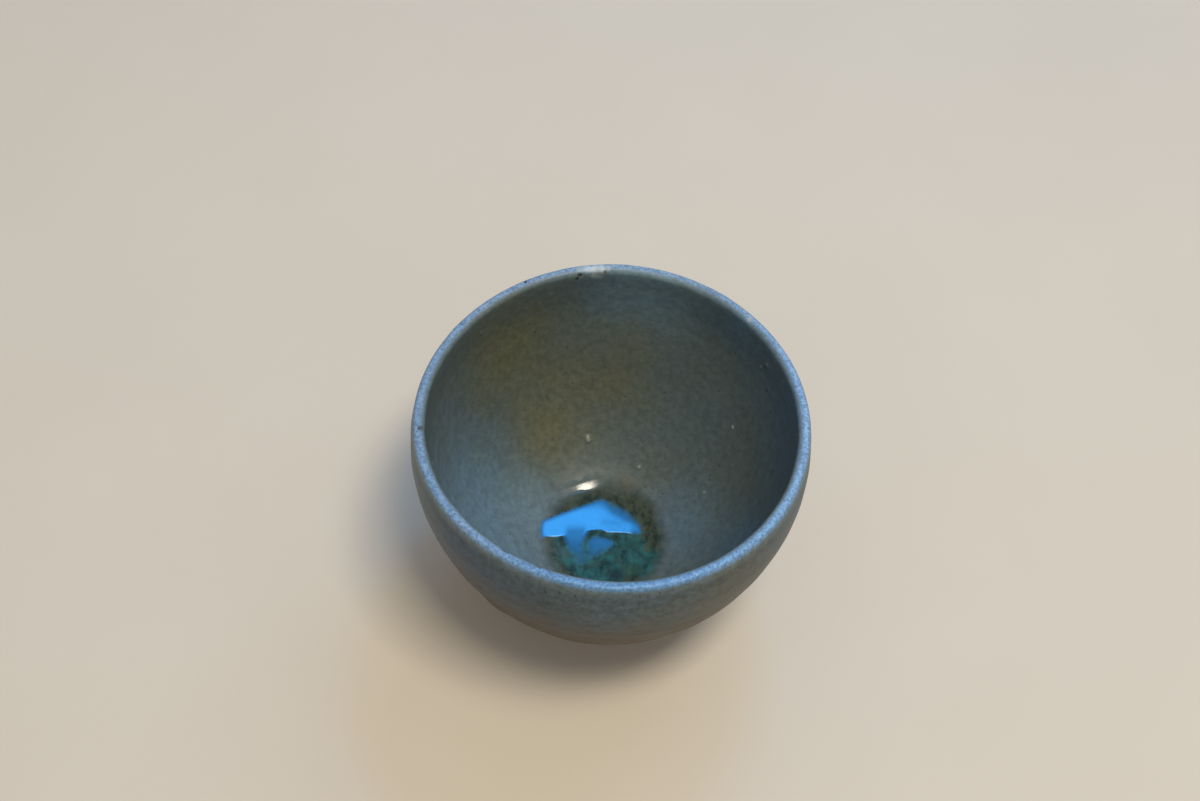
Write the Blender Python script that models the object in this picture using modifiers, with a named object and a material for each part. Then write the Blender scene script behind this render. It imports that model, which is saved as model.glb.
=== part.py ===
"""A thrown stoneware tea cup: clay bowl, turned foot ring, glaze coats and a pool of glass in the well.

Every piece is turned about +Z, with the foot standing on z = 0. Lengths are in metres.
"""

import math
from collections import namedtuple

import bpy

# Outer form
HEIGHT = 0.0580
BELLY_RADIUS = 0.0400
BELLY_DROP = 0.0094
LIP_INSET = 0.0020
LIP_THICKNESS = 0.0025

# Wall at the belly, and clay floor between the well and the foot
BELLY_WALL = 0.0031
FLOOR = 0.0032

# How full the bowl and the well are below the belly: exponents of the radius and of the depth
BOWL_EXPONENTS = (2.00, 1.74)
WELL_EXPONENTS = (2.50, 1.47)

# Foot: its bare clay collar, and the margin of round underside left inside the ring
FOOT_HEIGHT = 0.0071
FOOT_RADIUS = 0.0172
FOOT_FLARE = 0.0006
FOOT_WIDTH = 0.0045
FOOT_ROUNDING = 0.0009
FOOT_COLLAR = 0.0040
TRIM_MARGIN = 0.0018

# Glaze coats
GLAZE = 0.00035
GLAZE_ROLL = 0.0004
LIP_BAND = 0.0016

# Glass in the well: its depth in the middle, the film that it leaves up the wall, and its hollow edge
POOL_DEPTH = 0.0012
POOL_RADIUS = 0.0149
POOL_FILM = 0.0002
POOL_MENISCUS = 0.0002

# Clearance between pieces that lie on each other
GAP = 0.0003

# Facets
TURN_STEPS = 56
WALL_STEPS = 9
BAND_STEPS = 2
LIP_STEPS = 6
ROUNDING_STEPS = 3
SEAT_STEPS = 3
WELL_STEPS = 6
SMOOTH_ANGLE = math.radians(40)

COAT = GLAZE + GAP
LIP_RADIUS = BELLY_RADIUS - LIP_INSET
LIP_DROP = LIP_THICKNESS / 2
CLAY_LIP = LIP_DROP - COAT
BAND_END = LIP_DROP + LIP_BAND
GLAZE_END = HEIGHT - FOOT_HEIGHT - FOOT_COLLAR
FOOT_TOP_RADIUS = FOOT_RADIUS + FOOT_FLARE
FOOT_INNER_RADIUS = FOOT_RADIUS - FOOT_WIDTH

# A wall of bare clay: radius at the lip and at the belly, depth below the belly, and its two exponents
Wall = namedtuple("Wall", "lip belly bowl radius_exponent depth_exponent")


def depth_at(wall, radius):
    """Depth below the top of the lip at which a clay wall has closed in to a radius."""
    share = 1 - (radius / wall.belly) ** wall.radius_exponent
    return BELLY_DROP + wall.bowl * share ** (1 / wall.depth_exponent)


def radius_at(wall, depth):
    """Radius of a clay wall at a depth below the top of the lip."""
    if depth < BELLY_DROP:
        rise = (BELLY_DROP - depth) / (BELLY_DROP - LIP_DROP)
        return wall.belly + (wall.lip - wall.belly) * rise**2
    share = (depth - BELLY_DROP) / wall.bowl
    return wall.belly * (1 - share**wall.depth_exponent) ** (1 / wall.radius_exponent)


def bowl_wall():
    """The outside of the clay, which closes in to the top of the foot ring."""
    unit = Wall(LIP_RADIUS + CLAY_LIP, BELLY_RADIUS - COAT, 1.0, *BOWL_EXPONENTS)
    share_at_foot = depth_at(unit, FOOT_TOP_RADIUS) - BELLY_DROP
    depth_at_foot = HEIGHT - FOOT_HEIGHT - GAP - BELLY_DROP
    return unit._replace(bowl=depth_at_foot / share_at_foot)


OUTSIDE = bowl_wall()
TRIM_DEPTH = depth_at(OUTSIDE, FOOT_INNER_RADIUS - TRIM_MARGIN)


def well_wall():
    """The inside of the clay, down to the floor that is left above the trimmed underside."""
    belly = BELLY_RADIUS - BELLY_WALL + COAT
    depth = TRIM_DEPTH - FLOOR - BELLY_DROP
    return Wall(LIP_RADIUS - CLAY_LIP, belly, depth, *WELL_EXPONENTS)


INSIDE = well_wall()
POOL_RIM = depth_at(INSIDE, POOL_RADIUS)
WELL_END = BELLY_DROP + INSIDE.bowl


def down(wall, start, stop, steps, offset=0.0):
    """Points (r, z) down a clay wall between two depths, moved away from the axis by an offset."""
    sample = BELLY_DROP / 10000
    bottom = BELLY_DROP + wall.bowl
    first = math.asin(start / bottom)
    last = math.asin(stop / bottom)
    points = []
    for step in range(steps + 1):
        depth = bottom * math.sin(first + (last - first) * step / steps)
        if bottom - depth < sample:
            points.append((0.0, HEIGHT - bottom - offset))
            continue
        radius = radius_at(wall, depth)
        slope = (radius_at(wall, depth + sample) - radius_at(wall, depth - sample)) / (2 * sample)
        length = math.hypot(1, slope)
        points.append((radius + offset / length, HEIGHT - depth + offset * slope / length))
    return points


def joined(*stretches):
    """Stretches of a profile that meet end to end, without the points that they share."""
    points = list(stretches[0])
    for stretch in stretches[1:]:
        points += stretch[1:]
    return points


def arc(centre, radius, start, stop, steps):
    """Points (r, z) on an arc, with angles in degrees from +r towards +z."""
    angles = [math.radians(start + (stop - start) * step / steps) for step in range(steps + 1)]
    return [(centre[0] + radius * math.cos(a), centre[1] + radius * math.sin(a)) for a in angles]


def over_lip(offset):
    """The half round of the lip from inside to outside."""
    return arc((LIP_RADIUS, HEIGHT - LIP_DROP), CLAY_LIP + offset, 180, 0, LIP_STEPS)


def clay_body():
    """The thrown bowl: up the well, over the lip and down to the trimmed underside."""
    well = joined(
        down(INSIDE, LIP_DROP, BAND_END, BAND_STEPS),
        down(INSIDE, BAND_END, POOL_RIM, WALL_STEPS),
        down(INSIDE, POOL_RIM, WELL_END, WELL_STEPS),
    )
    bowl = joined(
        down(OUTSIDE, LIP_DROP, BAND_END, BAND_STEPS),
        down(OUTSIDE, BAND_END, GLAZE_END, WALL_STEPS),
        down(OUTSIDE, GLAZE_END, TRIM_DEPTH, SEAT_STEPS),
    )
    return joined(well[::-1], over_lip(0.0), bowl) + [(0.0, HEIGHT - TRIM_DEPTH)]


def foot_ring():
    """The foot: its top follows the round underside of the bowl, and its land is flat."""
    outer_edge = (FOOT_RADIUS - FOOT_ROUNDING, FOOT_ROUNDING)
    inner_edge = (FOOT_INNER_RADIUS + FOOT_ROUNDING, FOOT_ROUNDING)
    land = arc(outer_edge, FOOT_ROUNDING, 0, -90, ROUNDING_STEPS)
    land += arc(inner_edge, FOOT_ROUNDING, -90, -180, ROUNDING_STEPS)
    top = depth_at(OUTSIDE, FOOT_TOP_RADIUS)
    bottom = depth_at(OUTSIDE, FOOT_INNER_RADIUS)
    return land + down(OUTSIDE, top, bottom, SEAT_STEPS, GAP)[::-1]


def outer_glaze():
    """The outer coat, from below the lip band to a rolled edge above the foot."""
    front = down(OUTSIDE, BAND_END + GAP, GLAZE_END, WALL_STEPS, COAT)
    back = down(OUTSIDE, BAND_END + GAP, GLAZE_END, WALL_STEPS, GAP)
    roll = down(OUTSIDE, GLAZE_END, GLAZE_END + GLAZE_ROLL, 1, GAP + GLAZE / 2)
    return front + roll[1:] + back[::-1]


def inner_glaze():
    """The inner coat, a bowl from below the lip band to the middle of the well."""
    front, back = (
        joined(
            down(INSIDE, BAND_END + GAP, POOL_RIM, WALL_STEPS, -offset),
            down(INSIDE, POOL_RIM, WELL_END, WELL_STEPS, -offset),
        )
        for offset in (COAT, GAP)
    )
    return front[::-1] + back


def lip_glaze():
    """The thin coat that laps over the lip, where the clay shows through."""
    front, back = (
        joined(
            down(INSIDE, LIP_DROP, BAND_END, BAND_STEPS, -offset)[::-1],
            over_lip(offset),
            down(OUTSIDE, LIP_DROP, BAND_END, BAND_STEPS, offset),
        )
        for offset in (COAT, GAP)
    )
    return front + back[::-1]


def glass_pool():
    """The glass in the well: a level middle whose edge curves up into a thin film on the wall."""
    bed = down(INSIDE, POOL_RIM, WELL_END, WELL_STEPS, -COAT - GAP)
    level = bed[-1][1] + POOL_DEPTH
    surface = []
    for radius, height in bed:
        film = height + POOL_FILM
        surface.append((radius, (level + film) / 2 + math.hypot((level - film) / 2, POOL_MENISCUS)))
    return surface[::-1] + bed


def finish(name, colour, roughness):
    """A plain material for one piece."""
    material = bpy.data.materials.new(name)
    material.use_nodes = True
    shader = material.node_tree.nodes["Principled BSDF"]
    shader.inputs["Base Color"].default_value = (*colour, 1)
    shader.inputs["Roughness"].default_value = roughness
    shader.inputs["Metallic"].default_value = 0
    return material


def turned(name, profile, material, collection):
    """One piece turned about +Z from a profile, which closes unless it starts on the axis."""
    edges = [(i, i + 1) for i in range(len(profile) - 1)]
    if profile[0][0] > 0:
        edges.append((len(profile) - 1, 0))
    mesh = bpy.data.meshes.new(name)
    mesh.from_pydata([(r, 0, z) for r, z in profile], edges, [])
    piece = bpy.data.objects.new(name, mesh)
    collection.objects.link(piece)

    screw = piece.modifiers.new("turning", "SCREW")
    screw.axis = "Z"
    screw.steps = TURN_STEPS
    screw.render_steps = TURN_STEPS
    screw.use_merge_vertices = True
    screw.merge_threshold = 0.00001

    graph = bpy.context.evaluated_depsgraph_get()
    piece.data = bpy.data.meshes.new_from_object(piece.evaluated_get(graph))
    piece.modifiers.clear()
    piece.data.name = name
    piece.data.materials.append(material)
    piece.data.shade_smooth()
    piece.data.set_sharp_from_angle(angle=SMOOTH_ANGLE)
    bpy.data.meshes.remove(mesh)


def main():
    for obj in list(bpy.data.objects):
        bpy.data.objects.remove(obj)
    cup = bpy.data.collections.new("tea_cup")
    bpy.context.scene.collection.children.link(cup)

    stoneware = finish("fired_stoneware", (0.23, 0.18, 0.13), 0.85)
    foot_clay = finish("bare_foot_clay", (0.25, 0.19, 0.13), 0.90)
    grey_green = finish("grey_green_glaze", (0.085, 0.095, 0.090), 0.35)
    olive_grey = finish("olive_grey_glaze", (0.075, 0.080, 0.060), 0.35)
    pale_lip = finish("pale_lip_glaze", (0.28, 0.32, 0.34), 0.45)
    teal_glass = finish("teal_pool_glass", (0.020, 0.070, 0.065), 0.05)

    turned("clay_body", clay_body(), stoneware, cup)
    turned("foot_ring", foot_ring(), foot_clay, cup)
    turned("outer_glaze", outer_glaze(), grey_green, cup)
    turned("inner_glaze", inner_glaze(), olive_grey, cup)
    turned("lip_glaze", lip_glaze(), pale_lip, cup)
    turned("glass_pool", glass_pool(), teal_glass, cup)


main()
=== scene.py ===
"""The tea cup as the photograph shows it: hand-thrown coats, lip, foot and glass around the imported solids."""

import math
from collections import namedtuple

import bpy
import numpy as np
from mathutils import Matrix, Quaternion, Vector


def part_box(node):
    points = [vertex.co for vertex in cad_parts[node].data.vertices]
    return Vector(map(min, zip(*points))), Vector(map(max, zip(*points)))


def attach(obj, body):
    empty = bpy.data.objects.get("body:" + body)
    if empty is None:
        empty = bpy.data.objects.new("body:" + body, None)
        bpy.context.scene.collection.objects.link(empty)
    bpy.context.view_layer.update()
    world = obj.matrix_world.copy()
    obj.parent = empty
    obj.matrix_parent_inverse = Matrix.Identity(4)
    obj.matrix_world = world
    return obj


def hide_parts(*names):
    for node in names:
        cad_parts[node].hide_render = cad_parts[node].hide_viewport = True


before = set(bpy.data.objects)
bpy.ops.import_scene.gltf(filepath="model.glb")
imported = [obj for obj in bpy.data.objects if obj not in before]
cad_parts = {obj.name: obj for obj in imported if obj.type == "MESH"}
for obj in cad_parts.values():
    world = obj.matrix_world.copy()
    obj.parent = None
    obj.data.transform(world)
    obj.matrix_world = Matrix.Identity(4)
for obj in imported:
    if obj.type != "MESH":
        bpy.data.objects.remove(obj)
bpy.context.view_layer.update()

MM = 0.001
TAU = 2 * math.pi

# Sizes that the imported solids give
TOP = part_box("lip_glaze")[1].z
BELLY_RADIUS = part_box("outer_glaze")[1].x
FOOT_TOP_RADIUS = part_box("foot_ring")[1].x
FOOT_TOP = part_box("foot_ring")[1].z
GLAZE_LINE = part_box("outer_glaze")[0].z
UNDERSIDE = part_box("clay_body")[0].z
CLAY_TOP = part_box("clay_body")[1].z
POOL_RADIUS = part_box("glass_pool")[1].x
POOL_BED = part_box("glass_pool")[0].z
WELL_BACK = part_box("inner_glaze")[0].z

# The form of the walls and the foot, as the solids have it
BELLY_DROP = 9.4 * MM
LIP_INSET = 2.0 * MM
LIP_DROP = 1.25 * MM
LIP_BAND = 1.6 * MM
BELLY_WALL = 3.1 * MM
BOWL_EXPONENTS = (2.00, 1.74)
WELL_EXPONENTS = (2.50, 1.47)
POOL_DEPTH = 1.2 * MM
FOOT_HEIGHT = 7.1 * MM
FOOT_RADIUS = 17.2 * MM
FOOT_FLARE = 0.6 * MM
FOOT_WIDTH = 4.5 * MM
FOOT_ROUNDING = 0.9 * MM
TRIM_MARGIN = 1.8 * MM
GAP = 0.3 * MM

COAT = TOP - CLAY_TOP
CLAY_LIP = LIP_DROP - COAT
LIP_RADIUS = BELLY_RADIUS - LIP_INSET
BAND_END = LIP_DROP + LIP_BAND
GLAZE_END = TOP - GLAZE_LINE
CLAY_BED = WELL_BACK - GAP
TRIM_RADIUS = FOOT_RADIUS - FOOT_WIDTH - TRIM_MARGIN

# Points round the axis, the step for slopes, the angle of a sharp edge, and the radius of a row on the axis
AROUND = 720
ANGLES = np.arange(AROUND) * TAU / AROUND
SLOPE_STEP = 0.001 * MM
SHARP_ANGLE = math.radians(50)
ON_AXIS = 0.0001 * MM
TINY = 1e-12

# A wall of bare clay: radius at the lip and at the belly, depth below the belly, and its two exponents
Wall = namedtuple("Wall", "lip belly bowl radius_exponent depth_exponent")


def depth_at(wall, radius):
    """Depth below the top of the lip at which a clay wall has closed in to a radius."""
    share = 1 - (radius / wall.belly) ** wall.radius_exponent
    return BELLY_DROP + wall.bowl * share ** (1 / wall.depth_exponent)


def radius_at(wall, depth):
    """Radius of a clay wall at a depth below the top of the lip."""
    rise = np.clip((BELLY_DROP - depth) / (BELLY_DROP - LIP_DROP), 0, None)
    share = np.clip((depth - BELLY_DROP) / wall.bowl, 0, 1)
    bowl = wall.belly * (1 - share**wall.depth_exponent) ** (1 / wall.radius_exponent)
    return np.where(depth < BELLY_DROP, wall.belly + (wall.lip - wall.belly) * rise**2, bowl)


def down(wall, start, stop, steps, offset=0.0):
    """Points (r, z) down a clay wall between two depths, moved away from the axis by an offset."""
    bottom = BELLY_DROP + wall.bowl
    turn = np.linspace(math.asin(start / bottom), math.asin(min(stop / bottom, 1)), steps + 1)
    depth = bottom * np.sin(turn)
    inner = np.minimum(depth, bottom - 2 * SLOPE_STEP)
    change = radius_at(wall, inner + SLOPE_STEP) - radius_at(wall, inner - SLOPE_STEP)
    slope = change / (2 * SLOPE_STEP)
    length = np.hypot(1, slope)
    points = np.stack([radius_at(wall, depth) + offset / length, TOP - depth + offset * slope / length], 1)
    points[bottom - depth < SLOPE_STEP, 0] = 0
    return points


def bowl_wall():
    """The outside of the clay, which closes in to the top of the foot ring."""
    unit = Wall(LIP_RADIUS + CLAY_LIP, BELLY_RADIUS - COAT, 1.0, *BOWL_EXPONENTS)
    share_at_foot = depth_at(unit, FOOT_RADIUS + FOOT_FLARE) - BELLY_DROP
    depth_at_foot = TOP - FOOT_HEIGHT - GAP - BELLY_DROP
    return unit._replace(bowl=depth_at_foot / share_at_foot)


OUTSIDE = bowl_wall()
INSIDE = Wall(
    LIP_RADIUS - CLAY_LIP,
    BELLY_RADIUS - BELLY_WALL + COAT,
    TOP - BELLY_DROP - CLAY_BED,
    *WELL_EXPONENTS,
)
WELL_END = BELLY_DROP + INSIDE.bowl


def arc(centre, radius, start, stop, steps):
    """Points (r, z) on an arc, with angles in degrees from +r towards +z."""
    turn = np.radians(np.linspace(start, stop, steps + 1))
    return np.stack([centre[0] + radius * np.cos(turn), centre[1] + radius * np.sin(turn)], 1)


def joined(*stretches):
    """Stretches of a profile that meet end to end, without the points that they share."""
    return np.concatenate([stretches[0]] + [stretch[1:] for stretch in stretches[1:]])


# Random waves: how many are added up, how their lengths spread, and what brings their sum to about 1
WAVE_COUNT = 14
WAVE_SPREAD = (0.7, 1.4)
WAVE_LEVEL = 4


def waves(points, size, seed):
    """Smooth random waves of about one size through space, near -1 to 1."""
    rng = np.random.default_rng(seed)
    total = np.zeros(points.shape[:-1])
    for _ in range(WAVE_COUNT):
        direction = rng.normal(size=3)
        direction *= rng.uniform(*WAVE_SPREAD) / np.linalg.norm(direction)
        total += np.sin(points @ direction * (TAU / size) + rng.uniform(0, TAU))
    return total / WAVE_LEVEL


def smooth_step(value, low, high):
    """0 below low and 1 above high, with a smooth way between."""
    share = np.clip((value - low) / (high - low), 0, 1)
    return share * share * (3 - 2 * share)


def soft(value, limits):
    """The same for a length in metres, with both limits in millimetres."""
    low, high = limits
    return smooth_step(value, low * MM, high * MM)


# How far the lip is out of round: waves round the cup, and the parts of its radius for cosine and sine
LIP_WAVES = [
    (2, 0.0030, 0.0050),
    (3, -0.0043, -0.0041),
    (4, 0.0012, 0.0024),
]

# Part of the cup's height at which that begins, and how it grows up to the lip
UNEVEN_FROM = 0.35
UNEVEN_EXPONENT = 1.5


def out_of_round(points):
    """Points after the hand's unevenness, which is full at the lip and fades down the wall."""
    angle = np.arctan2(points[..., 1], points[..., 0])
    share = np.clip((points[..., 2] / TOP - UNEVEN_FROM) / (1 - UNEVEN_FROM), 0, 1) ** UNEVEN_EXPONENT
    push = sum(c * np.cos(k * angle) + s * np.sin(k * angle) for k, c, s in LIP_WAVES)
    result = points.copy()
    result[..., :2] *= (1 + push * share)[..., None]
    return result


# Marks in the glaze: place, size and rise in millimetres, with a negative rise for a pit
MARKS = [
    (-20.9, 31.9, 57.9, 0.9, -0.50),
    (-37.5, -7.0, 57.9, 0.9, 0.12),
    (-37.5, -7.0, 57.9, 0.6, -0.40),
    (-7.2, 36.7, 57.6, 1.7, -0.30),
    (-4.8, 37.2, 57.8, 1.1, -0.22),
    (-9.8, 35.5, 57.0, 1.0, -0.40),
    (-6.3, 36.2, 56.8, 1.4, -0.15),
    (26.1, 27.3, 57.8, 1.1, -0.12),
    (-17.7, -32.5, 57.5, 0.9, -0.55),
    (-11.4, -35.2, 57.5, 0.9, -0.50),
    (-23.2, -31.6, 41.0, 0.9, 0.22),
    (-19.9, -31.2, 33.0, 4.5, 0.30),
    (-5.3, 21.8, 16.0, 1.3, 0.40),
    (26.0, 18.8, 30.5, 0.7, 0.18),
    (21.4, 9.8, 17.2, 0.6, 0.15),
    (6.7, 17.6, 12.9, 0.7, 0.15),
    (-35.9, -5.5, 43.1, 0.6, 0.15),
    (-15.6, 33.1, 52.5, 1.0, 0.22),
    (-29.1, 22.1, 51.8, 0.8, 0.22),
    (29.8, 22.0, 49.1, 0.9, 0.22),
    (30.7, 20.5, 51.8, 0.9, 0.22),
    (31.9, 18.5, 46.4, 0.9, 0.22),
]

# Where the glaze inside changes colour, partly its own flashing and partly painted light: blue where the window
# lights the walls, olive where its frame shades them. Place, full and outer reach in millimetres, colour and
# strength
GLAZE_AND_WINDOW_LIGHT_PATCHES = [
    ((5, 37, 52), 4, 23, (0.153, 0.230, 0.268), 0.90),
    ((2, 34, 38), 2, 14, (0.152, 0.150, 0.085), 0.50),
    ((-22, 26, 42), 3, 25, (0.146, 0.143, 0.074), 0.85),
    ((-3, 29, 29), 4, 20, (0.148, 0.140, 0.072), 0.60),
    ((-15, 21, 20), 3, 20, (0.166, 0.162, 0.088), 0.80),
    ((-26, -6, 20), 6, 31, (0.157, 0.252, 0.324), 0.92),
    ((-18, 6, 13), 3, 14, (0.188, 0.268, 0.306), 0.50),
    ((18, 3, 13), 3, 19, (0.118, 0.184, 0.236), 0.80),
    ((3, 19, 14), 2, 9, (0.092, 0.128, 0.150), 0.50),
    ((4, 14, 11), 2, 7, (0.112, 0.104, 0.056), 0.60),
    ((36, 6, 49), 6, 27, (0.100, 0.158, 0.228), 0.90),
    ((26, 28, 55), 3, 17, (0.100, 0.180, 0.250), 0.75),
    ((6, -30, 24), 4, 30, (0.110, 0.188, 0.246), 0.88),
    ((28, -9, 27), 4, 18, (0.100, 0.184, 0.265), 0.80),
]

# The same for the outside, where they are painted shade and light: darker and bluer on the shaded left, warmer
# on the lit right
OUTSIDE_SHADE_AND_LIGHT = [
    ((-23, -28, 41), 5, 29, (0.032, 0.060, 0.108), 0.88),
    ((24, -29, 45), 4, 25, (0.101, 0.100, 0.074), 0.85),
    ((-9, -38, 46), 3, 14, (0.044, 0.066, 0.080), 0.60),
    ((10, -38, 45), 3, 14, (0.084, 0.096, 0.080), 0.50),
]

# How the lip's colour shifts round the cup, a painted reflection of the window that is bluer in places: place,
# full and outer reach in millimetres, and factors
LIP_REFLECTION_TINTS = [
    ((38, 4, 58), 6, 36, (1.11, 1.23, 1.31)),
    ((-38, 0, 58), 6, 36, (0.98, 1.03, 1.08)),
    ((-6, 38, 58), 4, 22, (1.05, 1.08, 1.04)),
    ((2, -38, 58), 6, 30, (0.65, 0.98, 1.23)),
    ((27, -27, 58), 4, 24, (0.90, 1.09, 1.20)),
    ((-27, -27, 58), 4, 24, (0.95, 1.03, 1.10)),
]

# Spots of another colour: place and size in millimetres, colour. Some are painted light and shade: a highlight
# on the far lip, a glint on the outside, and lit tops and shaded undersides of bumps
SPOTS_GLINTS_AND_SHADE = [
    ((-20.9, 31.9, 57.8), 0.8, (0.025, 0.025, 0.025)),
    ((-37.5, -7.0, 57.8), 1.15, (0.070, 0.078, 0.075)),
    ((-37.5, -7.0, 57.6), 0.60, (0.190, 0.215, 0.205)),
    # A painted highlight along the chipped far lip, with a grey flaw and brown spots just below it
    ((-9.8, 36.4, 57.9), 1.9, (0.330, 0.420, 0.480)),
    ((-5.6, 36.1, 56.6), 2.0, (0.250, 0.300, 0.300)),
    ((-6.9, 36.1, 56.7), 1.6, (0.240, 0.290, 0.290)),
    ((-8.2, 36.7, 57.9), 1.9, (0.470, 0.560, 0.620)),
    ((-6.8, 37.0, 57.9), 2.1, (0.540, 0.610, 0.640)),
    ((-5.3, 37.3, 57.9), 1.7, (0.480, 0.550, 0.600)),
    ((-4.1, 37.5, 57.9), 1.2, (0.420, 0.490, 0.540)),
    ((-4.6, 36.7, 57.4), 0.9, (0.120, 0.105, 0.070)),
    ((-9.8, 35.5, 57.0), 1.1, (0.060, 0.050, 0.030)),
    ((-10.3, 35.1, 56.3), 0.9, (0.035, 0.035, 0.025)),
    ((26.1, 27.3, 57.8), 1.3, (0.360, 0.410, 0.450)),
    # A painted glint on the outside
    ((-23.2, -31.6, 41.0), 0.5, (0.380, 0.370, 0.350)),
    # Pale spots on bumps inside the cup
    ((-5.3, 21.8, 16.0), 1.2, (0.400, 0.390, 0.300)),
    ((26.0, 18.8, 30.5), 0.8, (0.480, 0.490, 0.450)),
    ((21.4, 9.8, 17.2), 0.6, (0.330, 0.340, 0.310)),
    ((6.7, 17.6, 12.9), 0.7, (0.330, 0.340, 0.300)),
    ((-35.9, -5.5, 43.1), 0.6, (0.420, 0.440, 0.440)),
    # Painted lit tops and shaded undersides of bumps on the walls, in pale and dark pairs
    ((-29.1, 22.2, 51.8), 0.9, (0.220, 0.230, 0.170)),
    ((-29.0, 22.0, 50.9), 0.7, (0.055, 0.055, 0.035)),
    ((29.8, 22.0, 49.1), 0.9, (0.230, 0.270, 0.255)),
    ((30.7, 20.5, 51.8), 1.0, (0.230, 0.265, 0.250)),
    ((30.4, 21.0, 50.3), 0.7, (0.045, 0.055, 0.050)),
    ((31.9, 18.5, 46.4), 1.0, (0.220, 0.235, 0.255)),
    ((31.7, 18.7, 45.5), 0.7, (0.045, 0.050, 0.045)),
    ((33.8, 15.1, 54.1), 0.7, (0.250, 0.310, 0.340)),
    ((-9.8, -38.2, 53.8), 0.6, (0.035, 0.035, 0.030)),
    ((-7.0, -38.7, 54.8), 0.6, (0.035, 0.035, 0.030)),
    ((-4.1, -39.1, 55.0), 0.5, (0.035, 0.035, 0.030)),
    ((7.9, -38.5, 55.8), 0.6, (0.035, 0.035, 0.030)),
    ((11.5, -37.5, 56.3), 0.5, (0.040, 0.038, 0.033)),
]


def marked(points):
    """How far the marks move each point along its normal."""
    push = np.zeros(points.shape[:-1])
    for x, y, z, size, rise in MARKS:
        distance = np.linalg.norm(points - np.array([x, y, z]) * MM, axis=-1) / (size * MM)
        push += rise * MM * np.clip(1 - distance**2, 0, 1) ** 2
    return push


# Relief of the coats: swells, ripples, and the spiral that throwing leaves
SWELL = 0.030 * MM
SWELL_SIZE = 9 * MM
RIPPLE = 0.012 * MM
RIPPLE_SIZE = 2.6 * MM
SPIRAL = 0.015 * MM
SPIRAL_PITCH = 4.6 * MM


def thrown(points, facing):
    """Points of a coat after throwing, drying and firing."""
    push = SWELL * waves(points, SWELL_SIZE, seed=3) + RIPPLE * waves(points, RIPPLE_SIZE, seed=4)
    angle = np.arctan2(points[..., 1], points[..., 0])
    push += SPIRAL * np.sin(TAU * points[..., 2] / SPIRAL_PITCH + angle)
    return points + facing * (push + marked(points))[..., None]


def from_crest(profile):
    """Way from the top of the lip to points (r, z), in millimetres, and negative inside the cup."""
    radius, height = profile.T
    up = height - (TOP - LIP_DROP)
    way = LIP_DROP * np.abs(np.arctan2(radius - LIP_RADIUS, np.maximum(up, 0))) + np.maximum(-up, 0)
    depth = np.maximum(TOP - height, LIP_DROP)
    middle = (radius_at(INSIDE, depth) + radius_at(OUTSIDE, depth)) / 2
    return np.copysign(way, radius - middle) / MM


def keep(mesh, name, values):
    """A value for each vertex, which the materials read by its name."""
    attribute = mesh.attributes.new(name, "FLOAT", "POINT")
    attribute.data.foreach_set("value", values.astype(np.float32))


def turned(name, profile, front, shape, closed=True):
    """A piece turned about +Z from a profile that runs down its outer side.

    The function shape moves the rows of points that front marks, from where they are and which way they face.
    """
    goes_on = front == np.roll(front, -1)
    came_on = front == np.roll(front, 1)
    if not closed:
        goes_on[-1] = False
        came_on[0] = False
    ahead = np.where(goes_on[:, None], np.roll(profile, -1, 0), profile)
    behind = np.where(came_on[:, None], np.roll(profile, 1, 0), profile)
    along = ahead - behind
    normal = np.stack([-along[:, 1], along[:, 0]], 1)
    normal /= np.maximum(np.linalg.norm(normal, axis=1, keepdims=True), TINY)

    spin = np.stack([np.cos(ANGLES), np.sin(ANGLES)], 1)
    points = np.empty((len(profile), AROUND, 3))
    points[..., :2] = profile[:, 0, None, None] * spin
    points[..., 2] = profile[:, 1, None]
    facing = np.empty_like(points)
    facing[..., :2] = normal[:, 0, None, None] * spin
    facing[..., 2] = normal[:, 1, None]
    points[front] = shape(points[front], facing[front])
    points = out_of_round(points)

    pole = profile[:, 0] < ON_AXIS
    counts = np.where(pole, 1, AROUND)
    start = np.concatenate([[0], np.cumsum(counts)])
    rows = [row.mean(0, keepdims=True) if on_axis else row for row, on_axis in zip(points, pole)]
    vertices = np.concatenate(rows)
    step = np.arange(AROUND)
    after = (step + 1) % AROUND
    faces = []
    for a in range(len(profile) if closed else len(profile) - 1):
        b = (a + 1) % len(profile)
        if pole[a] and pole[b]:
            continue
        corners = [start[a] + step, start[b] + step, start[b] + after, start[a] + after]
        if pole[a]:
            corners = [np.full(AROUND, start[a]), start[b] + step, start[b] + after]
        if pole[b]:
            corners = [start[a] + step, np.full(AROUND, start[b]), start[a] + after]
        faces += np.stack(corners, 1).tolist()

    mesh = bpy.data.meshes.new(name)
    mesh.from_pydata(vertices.tolist(), [], faces)
    keep(mesh, "crest", np.repeat(from_crest(profile), counts))
    mesh.shade_smooth()
    mesh.set_sharp_from_angle(angle=SHARP_ANGLE)
    piece = bpy.data.objects.new(name, mesh)
    bpy.context.scene.collection.objects.link(piece)
    return piece


def eased(profile, rows, rounds):
    """A profile whose first rows are eased into a softer curve, apart from the first and last of them."""
    result = profile.copy()
    for _ in range(rounds):
        result[1:rows] = (result[: rows - 1] + 2 * result[1:rows] + result[2 : rows + 1]) / 4
    return result


def sides(front, back):
    """A closed profile from its visible front and its hidden back, with the rows that belong to the front."""
    return np.concatenate([front, back]), np.arange(len(front) + len(back)) < len(front)


# The hidden backs of the coats lie just inside the clay
SUNK = -0.05 * MM

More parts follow.
